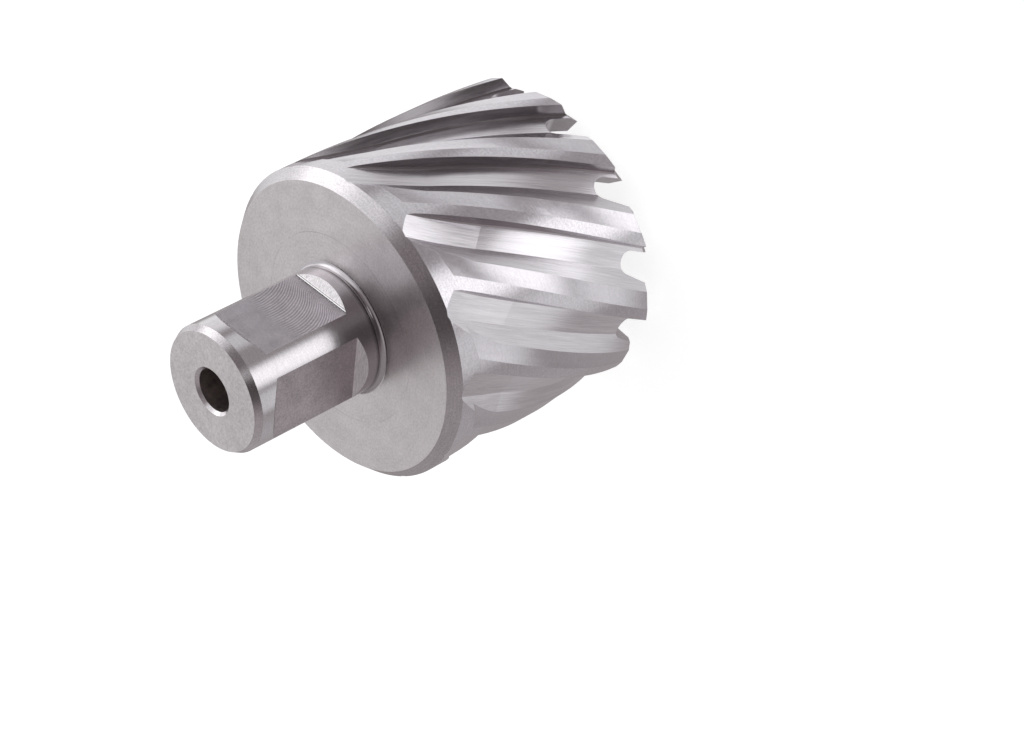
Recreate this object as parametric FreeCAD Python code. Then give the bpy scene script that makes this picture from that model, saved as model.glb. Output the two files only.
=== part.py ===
import FreeCAD, Part
import math
import os

# Annular cutter for steel, standing on its teeth: +Z runs along the cutter's axis towards the shank,
# z = 0 is the plane of the tooth tips and the origin is on the axis. Millimetres.
# It is turned as one blank, then the flutes, the relief behind each cutting edge, the gullets between
# the teeth and the bevels of the tooth ends are cut into it.

overall_height = 63.2
arbor_bore_size = 19.05
pin_diameter = 6.35

shank_clearance = 0.02
pin_clearance = 0.05
shank_diameter = arbor_bore_size - shank_clearance
shank_length = 22.9
shank_end_bevel_radial = 0.56
shank_end_bevel_axial = 1.06
pin_bore_diameter = pin_diameter + pin_clearance
pin_bore_bevel = 0.45
neck_groove_depth = 0.16
neck_groove_width = 0.25
neck_fillet = 0.75

drive_flat_distance = 7.87
drive_flat_start = 4.6
drive_flat_end = 18.9
drive_flat_front_slope = 45.0
drive_flat_back_slope = 33.0
drive_flat_angles = (0.0, -90.0)

cutting_diameter = 47.0
shoulder_bevel_radial = 1.46
shoulder_bevel_axial = 1.73
cavity_diameter = 38.0
cavity_depth = 33.0
cavity_fillet = 1.0

teeth = 12
helix_angle = 30.0
first_edge_angle = 22.2

# Angles across one flute are counted in degrees ahead of its cutting edge.
flute_floor_radius = 21.7
flute_wall_foot_angle = 0.3
flute_corner_angle = 0.9
flute_corner_height = 0.25
flute_floor_end_angle = 11.1
flute_far_wall_top_angle = 17.4
flute_far_wall_top_radius = 23.12
flute_tool_top = 1.3
flute_skew = 48.0
flute_middle_angle = 6.2
flute_straight_end = 27.5
flute_start = -8.0
flute_stations = 8
run_out_slope = 0.06
run_out_wheel_radius = 65.0
run_out_length = 14.0
run_out_stations = 6

margin_start_angle = 25.0
relief_overrun = 1.2
relief_overrun_flute = 5.0
relief_end = 35.3
relief_skew = -9.0

gullet_radius = 1.7
gullet_centre_height = 4.05
gullet_face_lean = 27.5
gullet_back_lean = 38.8
gullet_middle = 2.5

tip_radius = 21.0
tip_ahead_angle = 2.3
tip_inner_height = 0.75
tip_step_height = 1.0
tip_outer_height = 1.7
tip_relief_angle = 7.0
tip_plane_angle = 3.0
tip_reach_ahead = 1.9
tip_reach_behind = 8.5

overshoot = 2.0
blank_allowance = 0.6

cutting_radius = cutting_diameter / 2
shank_radius = shank_diameter / 2
bore_radius = pin_bore_diameter / 2
cavity_radius = cavity_diameter / 2
shoulder_height = overall_height - shank_length
tooth_pitch = 360.0 / teeth
twist_per_mm = math.degrees(math.tan(math.radians(helix_angle)) / cutting_radius)

up = FreeCAD.Vector(0, 0, 1)
origin = FreeCAD.Vector(0, 0, 0)


def polar(radius, angle, z):
    a = math.radians(angle)
    return FreeCAD.Vector(radius * math.cos(a), radius * math.sin(a), z)


def radial(angle):
    return polar(1, angle, 0)


def backward(angle):
    return polar(1, angle + 90.0, 0)


def edge_angle(z):
    return first_edge_angle + twist_per_mm * z


def around(shape, step, count):
    copies = []
    for i in range(count):
        copy = shape.copy()
        copy.rotate(origin, up, i * step)
        copies.append(copy)
    return copies


def turned_blank():
    # The shank is turned in three bands: a full ring, the band of the drive flats and a full ring.
    z_shoulder = shoulder_height
    z_groove = z_shoulder + neck_fillet
    r_neck = shank_radius - neck_groove_depth
    cavity_top = cavity_depth
    line = Part.LineSegment
    arc = Part.Arc
    diagonal = math.sqrt(0.5)
    p = FreeCAD.Vector
    neck_middle = p(r_neck + neck_fillet * (1 - diagonal), 0, z_shoulder + neck_fillet * (1 - diagonal))
    cavity_middle = p(cavity_radius - cavity_fillet * (1 - diagonal), 0,
                      cavity_top - cavity_fillet * (1 - diagonal))
    a = p(bore_radius, 0, cavity_top)
    b = p(bore_radius, 0, overall_height - pin_bore_bevel)
    c = p(bore_radius + pin_bore_bevel, 0, overall_height)
    d = p(shank_radius - shank_end_bevel_radial, 0, overall_height)
    e = p(shank_radius, 0, overall_height - shank_end_bevel_axial)
    flats_top = p(shank_radius, 0, overall_height - drive_flat_start)
    flats_bottom = p(shank_radius, 0, overall_height - drive_flat_end)
    f = p(shank_radius, 0, z_groove + neck_groove_width)
    g = p(r_neck, 0, z_groove + neck_groove_width - neck_groove_depth)
    h = p(r_neck, 0, z_groove)
    i = p(r_neck + neck_fillet, 0, z_shoulder)
    j = p(cutting_radius - shoulder_bevel_radial, 0, z_shoulder)
    k = p(cutting_radius, 0, z_shoulder - shoulder_bevel_axial)
    m = p(cutting_radius, 0, -blank_allowance)
    n = p(cavity_radius, 0, -blank_allowance)
    q = p(cavity_radius, 0, cavity_top - cavity_fillet)
    s = p(cavity_radius - cavity_fillet, 0, cavity_top)
    edges = [line(a, b), line(b, c), line(c, d), line(d, e), line(e, flats_top),
             line(flats_top, flats_bottom), line(flats_bottom, f), line(f, g), line(g, h),
             arc(h, neck_middle, i), line(i, j), line(j, k), line(k, m), line(m, n), line(n, q),
             arc(q, cavity_middle, s), line(s, a)]
    wire = Part.Wire([edge.toShape() for edge in edges])
    return Part.Face(wire).revolve(origin, up, 360)


def drive_flat_tool(angle):
    # A milled flat: a block whose end walls lean outwards.
    depth = shank_radius - drive_flat_distance + overshoot
    front = overall_height - drive_flat_start
    back = overall_height - drive_flat_end
    lean_front = depth * math.tan(math.radians(drive_flat_front_slope))
    lean_back = depth * math.tan(math.radians(drive_flat_back_slope))
    half_width = shank_radius + overshoot
    across = backward(0)
    low = FreeCAD.Vector(drive_flat_distance, 0, back) - across * half_width
    low_out = FreeCAD.Vector(drive_flat_distance + depth, 0, back - lean_back) - across * half_width
    high_out = FreeCAD.Vector(drive_flat_distance + depth, 0, front + lean_front) - across * half_width
    high = FreeCAD.Vector(drive_flat_distance, 0, front) - across * half_width
    face = Part.Face(Part.makePolygon([low, low_out, high_out, high, low]))
    tool = face.extrude(across * (2 * half_width))
    tool.rotate(origin, up, angle)
    return tool


def skewed_point(ahead, r, middle, skew, z):
    # A corner of a form wheel that runs along the helix, so many degrees ahead of the cutting edge.
    # All corners of one outline lie in a plane that leans by the skew angle.
    lean = math.tan(math.radians(skew))
    turn = (ahead - middle) / (1 + math.radians(twist_per_mm) * r * lean)
    return polar(r, edge_angle(z) - middle - turn, z + lean * r * math.sin(math.radians(turn)))


def skewed_wire(corners, z, lift):
    points = []
    for ahead, radius in corners:
        points.append(skewed_point(ahead, radius + lift, flute_middle_angle, flute_skew, z))
    points.append(points[0])
    return Part.makePolygon(points)


def far_wall_slope():
    rise = flute_far_wall_top_radius - flute_floor_radius
    return rise / (flute_far_wall_top_angle - flute_floor_end_angle)


def flute_outline():
    top = cutting_radius + flute_tool_top
    far_top_angle = flute_floor_end_angle + (top - flute_floor_radius) / far_wall_slope()
    return [(-flute_wall_foot_angle, top),
            (flute_wall_foot_angle, flute_floor_radius + flute_corner_height),
            (flute_corner_angle, flute_floor_radius),
            (flute_floor_end_angle, flute_floor_radius),
            (far_top_angle, top)]


def flute_tool():
    corners = flute_outline()
    straight = []
    for i in range(flute_stations):
        z = flute_start + (flute_straight_end - flute_start) * i / (flute_stations - 1)
        straight.append(skewed_wire(corners, z, 0.0))
    rising = []
    for i in range(run_out_stations):
        z = flute_straight_end + run_out_length * i / (run_out_stations - 1)
        along = (z - flute_straight_end) / math.cos(math.radians(helix_angle))
        lift = run_out_slope * along + along ** 2 / (2 * run_out_wheel_radius)
        rising.append(skewed_wire(corners, z, lift))
    body = Part.makeLoft(straight, True, False)
    end = Part.makeLoft(rising, True, False)
    return body.fuse(end)


def relief_wire(z):
    # The ground strip behind the margin is flat from the top of the flute's far wall to the margin;
    # the tool runs on past both ends.
    wall = skewed_point(flute_far_wall_top_angle, flute_far_wall_top_radius, margin_start_angle,
                        relief_skew, z)
    margin = skewed_point(margin_start_angle, cutting_radius, margin_start_angle, relief_skew, z)
    along = (margin - wall).normalize()
    lift = radial(edge_angle(z) - margin_start_angle) * flute_tool_top
    low = wall - along * relief_overrun_flute
    high = margin + along * relief_overrun
    return Part.makePolygon([low, high, high + lift, low + lift, low])


def relief_tool():
    sections = []
    for i in range(flute_stations):
        z = flute_start + (relief_end - flute_start) * i / (flute_stations - 1)
        sections.append(relief_wire(z))
    return Part.makeLoft(sections, True, False)


def tip_point():
    return polar(tip_radius, first_edge_angle - tip_ahead_angle, 0)


def gullet_tool():
    # The rounded slot between two teeth, cut through the wall along the radius.
    centre_angle = first_edge_angle - math.degrees(gullet_middle / flute_floor_radius)
    ahead = backward(centre_angle) * -1
    out = radial(centre_angle)
    base = polar(cavity_radius - overshoot, centre_angle, 0)
    face_lean = math.radians(gullet_face_lean)
    back_lean = math.radians(gullet_back_lean)

    def at(s, z):
        return base + ahead * (s - gullet_middle) + up * z

    tip_s = gullet_middle + (tip_point() - base).dot(ahead)
    cz = gullet_centre_height
    cx = tip_s - cz * math.tan(face_lean) + gullet_radius / math.cos(face_lean)
    face_s = cx - gullet_radius * math.cos(face_lean)
    face_z = cz - gullet_radius * math.sin(face_lean)
    back_s = cx + gullet_radius * math.cos(back_lean)
    back_z = cz + gullet_radius * math.sin(back_lean)
    mean = (face_lean + back_lean) / 2
    crown = at(cx - gullet_radius * math.sin(mean), cz + gullet_radius * math.cos(mean))
    face_low = at(face_s + (face_z + overshoot) * math.tan(face_lean), -overshoot)
    back_low = at(back_s + (back_z + overshoot) * math.tan(back_lean), -overshoot)
    edges = [Part.LineSegment(face_low, at(face_s, face_z)),
             Part.Arc(at(face_s, face_z), crown, at(back_s, back_z)),
             Part.LineSegment(at(back_s, back_z), back_low),
             Part.LineSegment(back_low, face_low)]
    wire = Part.Wire([edge.toShape() for edge in edges])
    reach = cutting_radius + overshoot - cavity_radius + overshoot
    return Part.Face(wire).extrude(out * reach)


def tip_tool():
    # The end of one tooth: an inner bevel, a steep step below the flute floor and an outer bevel,
    # all falling away behind the cutting edge.
    plane_angle = first_edge_angle + tip_plane_angle
    out = radial(plane_angle)
    back = backward(plane_angle)
    fall = math.tan(math.radians(tip_relief_angle))
    travel = back + up * fall
    inner_slope = tip_inner_height / (tip_radius - cavity_radius)
    outer_slope = (tip_outer_height - tip_step_height) / (cutting_radius - flute_floor_radius)
    inner_r = cavity_radius - overshoot
    outer_r = cutting_radius + overshoot
    underside = -blank_allowance - overshoot
    profile = [(inner_r, underside),
               (inner_r, inner_slope * (tip_radius - inner_r)),
               (tip_radius, 0.0),
               (flute_floor_radius, tip_step_height),
               (outer_r, tip_step_height + outer_slope * (outer_r - flute_floor_radius)),
               (outer_r, underside)]
    points = []
    for r, z in profile:
        points.append(tip_point() + out * (r - tip_radius) + up * z - travel * tip_reach_ahead)
    points.append(points[0])
    return Part.Face(Part.makePolygon(points)).extrude(travel * (tip_reach_ahead + tip_reach_behind))


cutter = turned_blank()
for angle in drive_flat_angles:
    cutter = cutter.cut(drive_flat_tool(angle))
for tool in (flute_tool(), relief_tool(), gullet_tool(), tip_tool()):
    for copy in around(tool, tooth_pitch, teeth):
        cutter = cutter.cut(copy)

solid = cutter.Solids[0]
print("solids", len(cutter.Solids), "valid", solid.isValid(), "volume", round(solid.Volume, 1))
box = solid.BoundBox
print("box", round(box.XMin, 3), round(box.XMax, 3), round(box.YMin, 3), round(box.YMax, 3),
      round(box.ZMin, 3), round(box.ZMax, 3))
print("lowest", round(min(v.Z for v in solid.Vertexes), 5), "faces", len(solid.Faces))
os.makedirs("parts", exist_ok=True)
solid.exportStep("parts/annular_cutter.step")
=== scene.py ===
import math

import bpy
import numpy as np
from mathutils import Matrix, Vector


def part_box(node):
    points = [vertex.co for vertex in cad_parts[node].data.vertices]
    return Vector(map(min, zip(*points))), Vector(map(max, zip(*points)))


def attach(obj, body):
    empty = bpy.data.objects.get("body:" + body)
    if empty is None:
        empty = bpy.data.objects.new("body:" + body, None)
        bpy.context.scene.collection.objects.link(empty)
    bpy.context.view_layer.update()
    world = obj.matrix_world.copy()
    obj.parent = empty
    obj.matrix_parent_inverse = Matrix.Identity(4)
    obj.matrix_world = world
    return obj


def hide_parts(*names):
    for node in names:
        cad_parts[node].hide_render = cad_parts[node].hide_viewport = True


# An annular cutter: a hollow cutter with twelve helical flutes that cuts a ring and leaves a slug.
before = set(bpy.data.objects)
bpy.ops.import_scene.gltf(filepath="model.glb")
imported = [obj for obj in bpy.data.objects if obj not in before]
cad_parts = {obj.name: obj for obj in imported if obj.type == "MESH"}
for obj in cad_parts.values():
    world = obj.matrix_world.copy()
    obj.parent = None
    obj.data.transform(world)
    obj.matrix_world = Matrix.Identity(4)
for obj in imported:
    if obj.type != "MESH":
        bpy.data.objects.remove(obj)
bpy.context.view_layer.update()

# The cutter is one piece of high-speed steel, turned and milled from bar, hardened, then ground.
# Each face has the marks of the tool that made it, so the faces are sorted by where they lie and
# which way they look, and each kind has its own finish. Sizes are in mm.
MM = 0.001
END_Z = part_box("annular_cutter")[1].z / MM
END_BEVEL_Z = END_Z - 1.0
NECK_TOP_Z = 41.35
SHOULDER_Z = 40.3
SHOULDER_BEVEL_Z = 38.57
CAVITY_ROOF_Z = 31.0
TOOTH_Z = 2.5
BORE_BEVEL_R = 3.7
SHANK_R = 9.515
CAVITY_R = 19.0
CAVITY_BEVEL_R = 19.5
FLUTE_FLOOR_R = 21.7
RELIEF_R = 23.05
BODY_R = 23.5
NEAR = 0.1
HELIX = math.tan(math.radians(30)) / BODY_R
TURNED = ("faced end", "end bevel", "shank", "groove", "neck", "shoulder", "bevel", "land",
          "drilled")

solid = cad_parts["annular_cutter"]
cutter = bpy.data.objects.new("cutter", solid.data.copy())
bpy.context.scene.collection.objects.link(cutter)
mesh = cutter.data
mesh.materials.clear()


def face_patches(mesh):
    """Number of the patch that each triangle lies in; the patches share no vertices."""
    parent = list(range(len(mesh.vertices)))

    def root(i):
        while parent[i] != i:
            parent[i] = parent[parent[i]]
            i = parent[i]
        return i

    for edge in mesh.edges:
        a, b = root(edge.vertices[0]), root(edge.vertices[1])
        if a != b:
            parent[a] = b
    roots = [root(p.vertices[0]) for p in mesh.polygons]
    return np.unique(roots, return_inverse=True)[1]


def finish_of(radius, height, outward, looks_out, looks_up):
    """Which tool made a patch, from its radii and heights in mm and its mean direction."""
    r_low, r_high = radius
    z_low, z_high = height
    if r_high < SHANK_R + NEAR and z_low > SHOULDER_Z + 0.5:
        if r_high < BORE_BEVEL_R:
            return "end bevel" if z_low > END_BEVEL_Z - NEAR else "drilled"
        if z_low > END_Z - NEAR:
            return "faced end"
        if z_low > END_BEVEL_Z - NEAR:
            return "end bevel"
        if z_high < NECK_TOP_Z:
            return "groove"
        if looks_out > 0.999:
            return "shank"
        side = "x" if outward[0] > 0.5 else "y"
        if abs(looks_up) < 0.01:
            return "flat " + side
        return "flat end"
    if r_high < BORE_BEVEL_R:
        return "drilled"
    if z_low > SHOULDER_Z - NEAR:
        return "shoulder" if r_high > 2 * SHANK_R else "neck"
    if z_low > SHOULDER_BEVEL_Z - NEAR and r_low > CAVITY_R:
        return "bevel"
    if r_low > BODY_R - NEAR / 2:
        return "land"
    if r_low > RELIEF_R and looks_out > 0.5:
        return "relief"
    if r_low < CAVITY_BEVEL_R and (looks_out < -0.5 or z_low > CAVITY_ROOF_Z):
        return "drilled"
    if r_low < CAVITY_BEVEL_R or z_high < TOOTH_Z:
        return "gullet"
    return "flute"


patch = face_patches(mesh)
kinds = []
turned = []
for number in range(patch.max() + 1):
    faces = [mesh.polygons[i] for i in np.where(patch == number)[0]]
    corners = np.array([mesh.vertices[v].co for f in faces for v in f.vertices]) / MM
    centres = np.array([f.center for f in faces]) / MM
    normals = np.array([f.normal for f in faces])
    areas = np.array([f.area for f in faces])
    out = centres[:, :2] / np.hypot(centres[:, 0], centres[:, 1])[:, None]
    outward = np.average(out, weights=areas, axis=0)
    looks_out = np.average((normals[:, :2] * out).sum(1), weights=areas)
    looks_up = np.average(normals[:, 2], weights=areas)
    corner_r = np.hypot(corners[:, 0], corners[:, 1])
    kind = finish_of((corner_r.min(), corner_r.max()), (corners[:, 2].min(), corners[:, 2].max()),
                     outward, looks_out, looks_up)
    kinds.append(kind)
    turned.append(kind in TURNED or kind == "flute" and np.ptp(corner_r) < NEAR / 5)

# A turned surface, and so a flute's floor, looks straight away from the axis everywhere, also where
# its mesh has a seam.
normals = np.array([n.vector for n in mesh.corner_normals])
for face in mesh.polygons:
    if turned[patch[face.index]]:
        for i in face.loop_indices:
            x, y = mesh.vertices[mesh.loops[i].vertex_index].co[:2]
            size = math.hypot(*normals[i][:2])
            if size > 0.01:
                size *= math.copysign(1, x * normals[i][0] + y * normals[i][1])
                normals[i][:2] = x * size / math.hypot(x, y), y * size / math.hypot(x, y)
mesh.normals_split_custom_set(normals.tolist())


def join(tree, value, socket):
    """Join a socket to another one, or set it to a plain value."""
    if hasattr(value, "is_output"):
        tree.links.new(value, socket)
    else:
        socket.default_value = value


def maths(tree, operation, *values):
    node = tree.nodes.new("ShaderNodeMath")
    node.operation = operation
    for value, socket in zip(values, node.inputs):
        join(tree, value, socket)
    return node.outputs[0]


def vectors(tree, operation, *values):
    node = tree.nodes.new("ShaderNodeVectorMath")
    node.operation = operation
    for value, socket in zip(values, node.inputs):
        join(tree, value, socket)
    return node.outputs["Value" if operation in ("LENGTH", "DOT_PRODUCT") else "Vector"]


def vector_of(tree, x, y, z):
    node = tree.nodes.new("ShaderNodeCombineXYZ")
    for value, socket in zip((x, y, z), node.inputs):
        join(tree, value, socket)
    return node.outputs[0]


def parts_of(tree, vector):
    node = tree.nodes.new("ShaderNodeSeparateXYZ")
    join(tree, vector, node.inputs[0])
    return node.outputs


def noise(tree, vector, w=None, detail=3.0, rough=0.6):
    """Noise about 0, mostly within -0.3 and 0.3."""
    node = tree.nodes.new("ShaderNodeTexNoise")
    if w is not None:
        node.noise_dimensions = "4D"
        join(tree, w, node.inputs["W"])
    join(tree, vector, node.inputs["Vector"])
    node.inputs["Scale"].default_value = 1
    node.inputs["Detail"].default_value = detail
    node.inputs["Roughness"].default_value = rough
    return maths(tree, "SUBTRACT", node.outputs[0], 0.5)


def steps(tree, value, low, high, to_low=0.0, to_high=1.0):
    """Soft step from one value to another."""
    node = tree.nodes.new("ShaderNodeMapRange")
    node.interpolation_type = "SMOOTHSTEP"
    join(tree, value, node.inputs["Value"])
    for name, number in (("From Min", low), ("From Max", high),
                         ("To Min", to_low), ("To Max", to_high)):
        node.inputs[name].default_value = number
    return node.outputs[0]


EDGE_R = 0.08
EDGE_POLISH = 0.08
# Painted highlight: how much lighter the colour is made at rounded edges, convex and concave alike.
EDGE_PAINTED_HIGHLIGHT = 0.12
SMOOTHEST = 0.05
DEPTH_SQUEEZE = 0.2


class Steel:
    """Bare steel with the marks of one tool; sizes are in mm and depths in thousandths of one."""

    def __init__(self, name, tint, roughness, stretch):
        self.material = bpy.data.materials.new(name)
        self.material.use_nodes = True
        self.tree = tree = self.material.node_tree
        self.shader = tree.nodes["Principled BSDF"]
        self.shader.inputs["Metallic"].default_value = 1
        self.shader.inputs["Anisotropic"].default_value = stretch
        self.tint, self.rough, self.level = tint, roughness, 1.0
        coords = tree.nodes.new("ShaderNodeTexCoord").outputs["Object"]
        self.place = vectors(tree, "MULTIPLY", coords, (1 / MM, 1 / MM, 1 / MM))
        self.x, self.y, self.z = parts_of(tree, self.place)
        self.radius = vectors(tree, "LENGTH", vector_of(tree, self.x, self.y, 0.0))
        self.normal = tree.nodes.new("ShaderNodeNewGeometry").outputs["Normal"]
        bevel = tree.nodes.new("ShaderNodeBevel")
        bevel.samples = 4
        bevel.inputs["Radius"].default_value = EDGE_R * MM
        self.rounded = bevel.outputs[0]
        self.edge = maths(tree, "SUBTRACT", 1,
                          vectors(tree, "DOT_PRODUCT", self.normal, self.rounded))

    def runs(self, direction):
        """Sets the way that the tool ran over the steel; light spreads across it."""
        across = vectors(self.tree, "CROSS_PRODUCT", self.normal, direction)
        self.tree.links.new(vectors(self.tree, "NORMALIZE", across), self.shader.inputs["Tangent"])

    def runs_round(self):
        self.runs(vector_of(self.tree, maths(self.tree, "MULTIPLY", self.y, -1), self.x, 0.0))

    def runs_along_flute(self):
        tree = self.tree
        self.runs(vector_of(tree, maths(tree, "MULTIPLY", self.y, -HELIX),
                            maths(tree, "MULTIPLY", self.x, HELIX), 1.0))

    def round_marks(self, width, turns):
        """Noise that runs round the axis."""
        tree = self.tree
        unit = vectors(tree, "NORMALIZE", vector_of(tree, self.x, self.y, 0.0))
        ux, uy, _ = parts_of(tree, vectors(tree, "MULTIPLY", unit, (turns, turns, turns)))
        return noise(tree, vector_of(tree, ux, uy, maths(tree, "DIVIDE", self.radius, width)),
                     maths(tree, "DIVIDE", self.z, width))

    def flute_marks(self, width, length, detail=3.0):
        """Noise that runs along the flutes: the cutter is untwisted first, and made shallower."""
        tree = self.tree
        untwist = tree.nodes.new("ShaderNodeVectorRotate")
        untwist.rotation_type = "Z_AXIS"
        join(tree, self.place, untwist.inputs["Vector"])
        join(tree, maths(tree, "MULTIPLY", self.z, -HELIX), untwist.inputs["Angle"])
        x, y, z = parts_of(tree, untwist.outputs[0])
        flat = vector_of(tree, x, y, 0.0)
        squeezed = vectors(tree, "SCALE", vectors(tree, "NORMALIZE", flat))
        join(tree, maths(tree, "MULTIPLY_ADD", self.radius, DEPTH_SQUEEZE,
                         (1 - DEPTH_SQUEEZE) * FLUTE_FLOOR_R), squeezed.node.inputs["Scale"])
        x, y, _ = parts_of(tree, vectors(tree, "DIVIDE", squeezed, (width, width, width)))
        return noise(tree, vector_of(tree, x, y, maths(tree, "DIVIDE", z, length)), None, detail)

    def cloud(self, size):
        return noise(self.tree, vectors(self.tree, "DIVIDE", self.place, (size, size, size)))

    def rougher(self, by, amount):
        self.rough = maths(self.tree, "MULTIPLY_ADD", by, amount, self.rough)

    def lighter(self, by, amount):
        self.level = maths(self.tree, "MULTIPLY_ADD", by, amount, self.level)

    def finished(self, *bumps):
        """Adds the bumps, each a height and a depth, over rounded edges that wear has polished, and
        paints the edges lighter as a highlight.
        """
        tree = self.tree
        normal = self.rounded
        for height, depth in bumps:
            bump = tree.nodes.new("ShaderNodeBump")
            bump.inputs["Distance"].default_value = depth * MM / 1000
            join(tree, height, bump.inputs["Height"])
            join(tree, normal, bump.inputs["Normal"])
            normal = bump.outputs[0]
        tree.links.new(normal, self.shader.inputs["Normal"])
        worn_and_highlit = steps(tree, self.edge, 0.0, 0.25)
        self.rougher(worn_and_highlit, -EDGE_POLISH)
        rough = maths(tree, "MAXIMUM", self.rough, SMOOTHEST)
        join(tree, rough, self.shader.inputs["Roughness"])
        colour = vectors(tree, "SCALE", self.tint)
        scale = colour.node.inputs["Scale"]
        # Painted highlight: the base colour is made lighter at the rounded edges.
        join(tree, maths(tree, "MULTIPLY_ADD", worn_and_highlit, EDGE_PAINTED_HIGHLIGHT, self.level), scale)
        tree.links.new(colour, self.shader.inputs["Base Color"])
        return self.material


BRIGHT = (0.65, 0.625, 0.65)
materials = {}

# The end of the shank is faced on the lathe: an even matt surface with hardly any marks.
steel = Steel("faced_end_steel", tint=(0.655, 0.625, 0.635), roughness=0.42, stretch=0.2)
steel.runs_round()
steel.rougher(steel.cloud(1.2), 0.12)
steel.lighter(steel.cloud(0.32), 0.75)
steel.lighter(steel.cloud(1.6), 0.3)
materials["faced end"] = steel.finished((steel.round_marks(0.12, 3), 1.5), (steel.cloud(0.3), 3.0))

# The shank is ground between centres, so fine lines run round it and draw highlights out along it.
steel = Steel("shank_steel", tint=(0.635, 0.61, 0.635), roughness=0.16, stretch=0.4)
steel.runs_round()
fine = steel.round_marks(0.16, 5)
steel.rougher(steel.cloud(0.5), 0.1)
steel.lighter(fine, 0.25)
steel.lighter(steel.cloud(0.25), 0.4)
# Painted shade: the colour darkens to half over the lowest 0.5 mm of the shank, next to the groove.
steel.lighter(steps(steel.tree, steel.z, NECK_TOP_Z, NECK_TOP_Z + 0.5, -0.5, 0.0), 1.0)
materials["shank"] = steel.finished((fine, 2.0))

# Its end is bevelled, outside and at the bore, with a tool that leaves coarser lines.
# Painted light: the bevel's base colour is set lighter than the rest of the steel.
steel = Steel("end_bevel_steel", tint=(0.72, 0.69, 0.715), roughness=0.26, stretch=0.3)
steel.runs_round()
fine = steel.round_marks(0.16, 4)
steel.lighter(steel.cloud(0.3), 0.6)
materials["end bevel"] = steel.finished((fine, 2.5))

# The two drive flats are milled. The one towards +X keeps the arcs of the end mill's last passes.
FLAT_X = 7.865
MILL_R = 7.9
MILL_Z = 52.2
MILL_FEED = 0.44
ARCS_FULL_Z = 51.6
ARCS_GONE_Z = 53.6
steel = Steel("flat_x_steel", tint=(0.565, 0.54, 0.575), roughness=0.33, stretch=0.3)
tree = steel.tree
from_mill = maths(tree, "SUBTRACT", steel.z, MILL_Z)
inside = maths(tree, "SUBTRACT", MILL_R ** 2, maths(tree, "MULTIPLY", from_mill, from_mill))
drop = maths(tree, "SQRT", maths(tree, "MAXIMUM", inside, 0.02))
steel.runs(vector_of(tree, 0.0, from_mill, drop))
wobble = maths(tree, "MULTIPLY", steel.cloud(2.5), 0.35)
feed = maths(tree, "ADD", maths(tree, "ADD", steel.y, drop), wobble)
wave = maths(tree, "SINE", maths(tree, "MULTIPLY", feed, 2 * math.pi / MILL_FEED))
uneven_z = maths(tree, "ADD", steel.z, maths(tree, "MULTIPLY", steel.cloud(4.0), 4.0))
near_wall = steps(tree, uneven_z, ARCS_GONE_Z, ARCS_FULL_Z)
scallops = maths(tree, "MULTIPLY", maths(tree, "MULTIPLY", wave, near_wall),
                 maths(tree, "MULTIPLY_ADD", steel.cloud(1.2), 1.6, 0.8))
steel.rougher(steel.cloud(3.0), 0.12)
steel.lighter(scallops, 0.36)
steel.lighter(steel.cloud(2.2), 0.5)
steel.lighter(steel.cloud(0.3), 0.5)
materials["flat x"] = steel.finished((scallops, 4.0), (steel.cloud(0.35), 4.0))

steel = Steel("flat_y_steel", tint=(0.55, 0.505, 0.53), roughness=0.33, stretch=0.2)
steel.runs(vector_of(steel.tree, 1.0, 0.0, 0.4))
steel.rougher(steel.cloud(2.5), 0.12)
steel.lighter(steel.cloud(0.3), 1.0)
steel.lighter(steel.cloud(3.0), 0.5)
materials["flat y"] = steel.finished((steel.cloud(0.45), 4.0))

# Each flat ends in a wall that the mill's side cut. Along the foot of the one towards +X, dark and
# light lines are painted, with painted shade in the crease.
FOOT_LINE_PITCH = 0.24
FOOT_LINES_TOP = 0.5
# Painted light: the walls' base colour is set lighter than the rest of the steel.
steel = Steel("flat_end_steel", tint=(0.73, 0.705, 0.725), roughness=0.3, stretch=0.2)
steel.runs(vector_of(steel.tree, 1.0, 0.0, 0.0))
tree = steel.tree
ticks = noise(tree, vectors(tree, "DIVIDE", steel.place, (0.9, 0.16, 0.3)))
on_x = steps(tree, steel.x, FLAT_X - 0.2, FLAT_X - 0.1)
above = maths(tree, "SUBTRACT", steel.x, FLAT_X)
foot_lines_and_shade = maths(tree, "SINE", maths(tree, "MULTIPLY", above, 2 * math.pi / FOOT_LINE_PITCH))
foot_lines_and_shade = maths(tree, "MULTIPLY", foot_lines_and_shade, steps(tree, above, 0.3, FOOT_LINES_TOP, -0.6, 0.0))
foot_lines_and_shade = maths(tree, "ADD", foot_lines_and_shade, steps(tree, above, 0.05, 0.25, -0.4, 0.0))
# Painted shade in the crease at the foot of the +X wall, with dark and light lines painted along
# it.
steel.lighter(maths(tree, "MULTIPLY", foot_lines_and_shade, on_x), 1.0)
steel.lighter(ticks, 0.9)
steel.lighter(maths(tree, "MULTIPLY", ticks, on_x), 0.4)
materials["flat end"] = steel.finished((ticks, 7.0))

# The neck at the foot of the shank is turned and polished. A narrow groove parts it from the shank;
# its near-black colour is painted shade.
# Painted shade: the neck's base colour is set darker than the rest of the steel.
steel = Steel("neck_steel", tint=(0.55, 0.525, 0.55), roughness=0.13, stretch=0.3)
steel.runs_round()
steel.lighter(steel.cloud(0.3), 0.3)
materials["neck"] = steel.finished((steel.round_marks(0.15, 3), 1.5))

# Painted shade: the groove's steel is coloured near black.
steel = Steel("groove_painted_shade_steel", tint=(0.2, 0.18, 0.18), roughness=0.45, stretch=0.0)
steel.lighter(steel.cloud(0.4), 0.6)
materials["groove"] = steel.finished()

# The bevel between the shoulder and the lands is turned, with lines that can be seen.
steel = Steel("bevel_steel", tint=BRIGHT, roughness=0.25, stretch=0.4)
steel.runs_round()
fine = steel.round_marks(0.16, 8)
steel.lighter(fine, 0.45)
steel.lighter(steel.cloud(0.28), 0.6)
materials["bevel"] = steel.finished((fine, 3.0))

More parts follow.
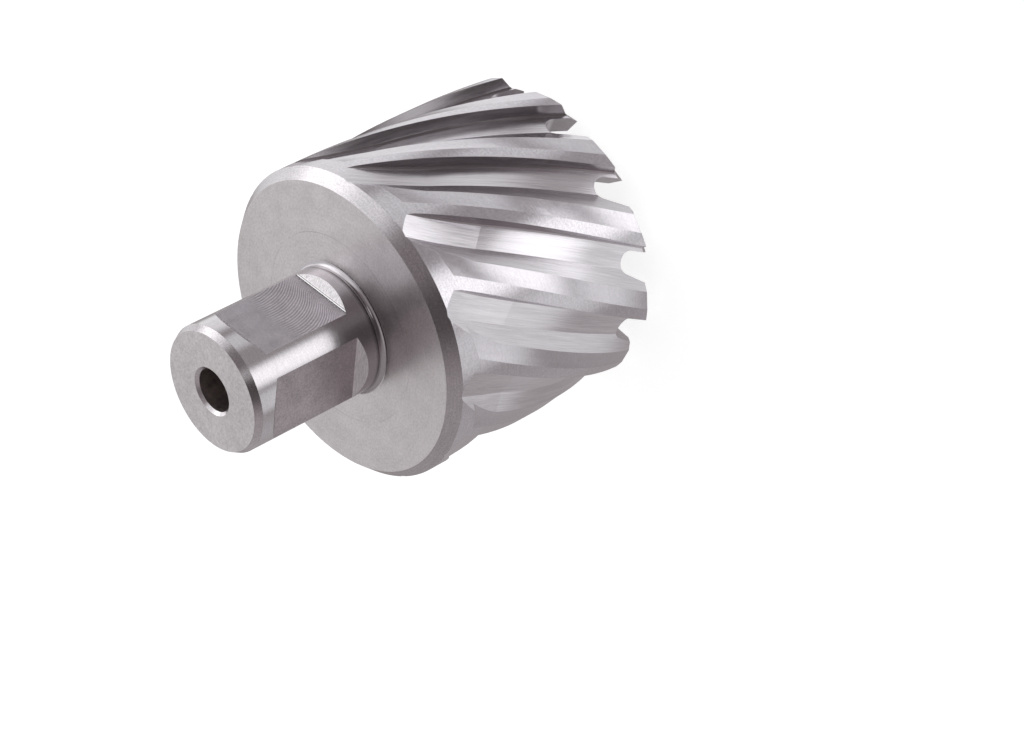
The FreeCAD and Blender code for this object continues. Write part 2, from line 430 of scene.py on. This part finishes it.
# The shoulder is faced with a fine feed, which leaves faint rings and one deeper line.
LINE_R = 14.4
LINE_FULL = 0.03
LINE_GONE = 0.14
steel = Steel("shoulder_steel", tint=(0.645, 0.61, 0.62), roughness=0.38, stretch=0.3)
steel.runs_round()
fine = steel.round_marks(0.2, 5)
steel.rougher(steel.cloud(1.5), 0.1)
steel.lighter(fine, 0.2)
steel.lighter(steel.round_marks(1.1, 1.2), 0.08)
steel.lighter(steel.cloud(0.35), 0.55)
steel.lighter(steel.cloud(3.0), 0.35)
tree = steel.tree
off_line = maths(tree, "ABSOLUTE", maths(tree, "SUBTRACT", steel.radius, LINE_R))
line = maths(tree, "MULTIPLY", steps(tree, off_line, LINE_FULL, LINE_GONE, 1.0, 0.0),
             steps(tree, steel.cloud(5.0), -0.15, 0.15))
steel.lighter(line, -0.2)
materials["shoulder"] = steel.finished((fine, 2.0))

# The lands and the relief beside them are ground round the cutter, and the flutes along the helix
# with a coarse wheel, which leaves long streaks.
steel = Steel("land_steel", tint=(0.65, 0.625, 0.66), roughness=0.2, stretch=0.3)
steel.runs_round()
fine = steel.round_marks(0.17, 10)
steel.rougher(steel.cloud(1.5), 0.12)
steel.lighter(fine, 0.3)
steel.lighter(steel.cloud(0.28), 0.55)
materials["land"] = steel.finished((fine, 2.5))

steel = Steel("relief_steel", tint=(0.65, 0.625, 0.66), roughness=0.18, stretch=0.3)
steel.runs_round()
fine = steel.round_marks(0.17, 10)
steel.rougher(steel.cloud(1.5), 0.12)
steel.lighter(fine, 0.22)
steel.lighter(steel.cloud(0.28), 0.3)
steel.lighter(steel.flute_marks(0.7, 12), 0.15)
materials["relief"] = steel.finished((fine, 2.5))

# Painted light: the flutes' base colour is set lighter than the rest of the steel.
steel = Steel("flute_steel", tint=(0.745, 0.72, 0.755), roughness=0.21, stretch=0.5)
steel.runs_along_flute()
streaks = steel.flute_marks(0.12, 4)
broad = steel.flute_marks(0.7, 20)
steel.rougher(streaks, 0.15)
steel.lighter(streaks, 0.5)
steel.lighter(broad, 0.35)
materials["flute"] = steel.finished((streaks, 5.0), (broad, 10.0))

# The gullets and the tooth tips are ground matt, and the bore and the cavity are left as drilled.
steel = Steel("gullet_steel", tint=BRIGHT, roughness=0.34, stretch=0.0)
steel.rougher(steel.cloud(0.8), 0.1)
steel.lighter(steel.cloud(0.3), 0.4)
materials["gullet"] = steel.finished((steel.cloud(0.2), 4.0))

steel = Steel("drilled_steel", tint=(0.62, 0.56, 0.55), roughness=0.36, stretch=0.3)
steel.runs_round()
pits = steel.cloud(0.35)
steel.rougher(steel.cloud(0.8), 0.2)
steel.lighter(steel.cloud(0.8), 0.5)
steel.lighter(pits, 0.5)
materials["drilled"] = steel.finished((steel.round_marks(0.25, 3), 6.0), (pits, 10.0))

names = list(materials)
for name in names:
    mesh.materials.append(materials[name])
mesh.polygons.foreach_set("material_index", [names.index(kinds[i]) for i in patch])

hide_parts("annular_cutter")
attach(cutter, "root")

# The studio: a pale floor, and a dim tent all round with soft boxes in it. The camera sees white.
# The steel shows the tent also below it, because the photo's cutter lies on its side, clear of a
# floor. Where the tent is dim, it is a little brown.
FLOOR_SIZE = 6.0
FLOOR_GREY = 0.5
FLOOR_WHITE = 0.85
ROOM_LEVEL = 0.07
ROOM_TINT = (1.12, 0.97, 0.98)
TINT_FULL = 0.05
TINT_GONE = 0.7
# azimuth from +X towards +Y, angle from straight up, angles of full and of no light, strength
SOFT_BOXES = (
    (0, 0, 12, 38, 0.3),
    (62, 74, 10, 28, 0.68),
    (110, 60, 22, 45, 0.73),
    (50, 60, 22, 45, 0.88),
    (100, 97, 14, 28, 0.48),
    (-155, 68, 25, 70, 0.29),
    (-12, 50, 10, 32, 0.14),
    (-42, 71, 4, 13, 0.6),
    (-55, 128, 6, 20, 1.2),
    (-98, 124, 8, 20, 0.4),
    (77, 129, 12, 30, 0.63),
    (17, 128, 8, 19, 0.42),
    (-19, 146, 5, 13, 0.95),
    (5, 158, 8, 21, 0.36),
    (-90, 155, 10, 32, 0.37),
    (0, 180, 60, 95, 0.3),
)


def towards(azimuth, from_top):
    a, t = math.radians(azimuth), math.radians(from_top)
    return (math.sin(t) * math.cos(a), math.sin(t) * math.sin(a), math.cos(t))


def glow(tree, direction, level, boxes):
    """Brightness seen in a direction: an even level and the soft boxes on it."""
    total = level
    for azimuth, from_top, inner, outer, strength in boxes:
        nearness = vectors(tree, "DOT_PRODUCT", direction, towards(azimuth, from_top))
        light = steps(tree, nearness, math.cos(math.radians(outer)),
                      math.cos(math.radians(inner)), 0.0, strength)
        total = maths(tree, "ADD", light, total)
    return total


world = bpy.data.worlds.new("studio")
bpy.context.scene.world = world
world.use_nodes = True
tree = world.node_tree
background = tree.nodes["Background"]
seen = glow(tree, tree.nodes.new("ShaderNodeTexCoord").outputs["Generated"], ROOM_LEVEL, SOFT_BOXES)
to_camera = tree.nodes.new("ShaderNodeLightPath").outputs["Is Camera Ray"]
strength = maths(tree, "MULTIPLY_ADD", to_camera, maths(tree, "SUBTRACT", 1, seen), seen)
join(tree, strength, background.inputs["Strength"])
tint = tree.nodes.new("ShaderNodeMixRGB")
join(tree, steps(tree, strength, TINT_FULL, TINT_GONE), tint.inputs["Fac"])
tint.inputs["Color1"].default_value = (*ROOM_TINT, 1)
tint.inputs["Color2"].default_value = (1, 1, 1, 1)
tree.links.new(tint.outputs[0], background.inputs["Color"])

bpy.ops.mesh.primitive_plane_add(size=FLOOR_SIZE, location=(0, 0, 0))
floor = bpy.context.object
floor.name = "floor"
paint = bpy.data.materials.new("sweep")
paint.use_nodes = True
tree = paint.node_tree
tree.nodes.clear()
output = tree.nodes.new("ShaderNodeOutputMaterial")
diffuse = tree.nodes.new("ShaderNodeBsdfDiffuse")
diffuse.inputs["Color"].default_value = (FLOOR_GREY, FLOOR_GREY, FLOOR_GREY, 1)
emission = tree.nodes.new("ShaderNodeEmission")
both = tree.nodes.new("ShaderNodeAddShader")
clear = tree.nodes.new("ShaderNodeBsdfTransparent")
choice = tree.nodes.new("ShaderNodeMixShader")
rays = tree.nodes.new("ShaderNodeLightPath").outputs
join(tree, maths(tree, "MULTIPLY", rays["Is Camera Ray"], FLOOR_WHITE), emission.inputs["Strength"])
for shader, socket in ((diffuse, both.inputs[0]), (emission, both.inputs[1]),
                       (both, choice.inputs[1]), (clear, choice.inputs[2])):
    tree.links.new(shader.outputs[0], socket)
tree.links.new(rays["Is Glossy Ray"], choice.inputs["Fac"])
tree.links.new(choice.outputs[0], output.inputs["Surface"])
floor.data.materials.append(paint)

# The camera: the photo shows the cutter lying on its side, seen from past the shank, so the camera
# looks down on the standing cutter from beside the shank and is rolled.
PHOTO_WIDTH = 1024
FOCAL_PIXELS = 3055.7
CAMERA_PLACE = Vector((268.9, -238.4, 272.3)) * MM
CAMERA_FORWARD = Vector((-0.63382, 0.51274, -0.57911))
CAMERA_UP = Vector((0.7671, 0.5126, -0.3857))
data = bpy.data.cameras.new("camera")
camera = bpy.data.objects.new("camera", data)
bpy.context.scene.collection.objects.link(camera)
bpy.context.scene.camera = camera
data.sensor_width = 36
data.lens = data.sensor_width * FOCAL_PIXELS / PHOTO_WIDTH
data.clip_start = 0.01
camera.location = CAMERA_PLACE
back = -CAMERA_FORWARD.normalized()
right = CAMERA_UP.cross(back).normalized()
camera.rotation_mode = "QUATERNION"
camera.rotation_quaternion = Matrix((right, back.cross(right), back)).transposed().to_quaternion()

bpy.context.scene.view_settings.view_transform = "Standard"
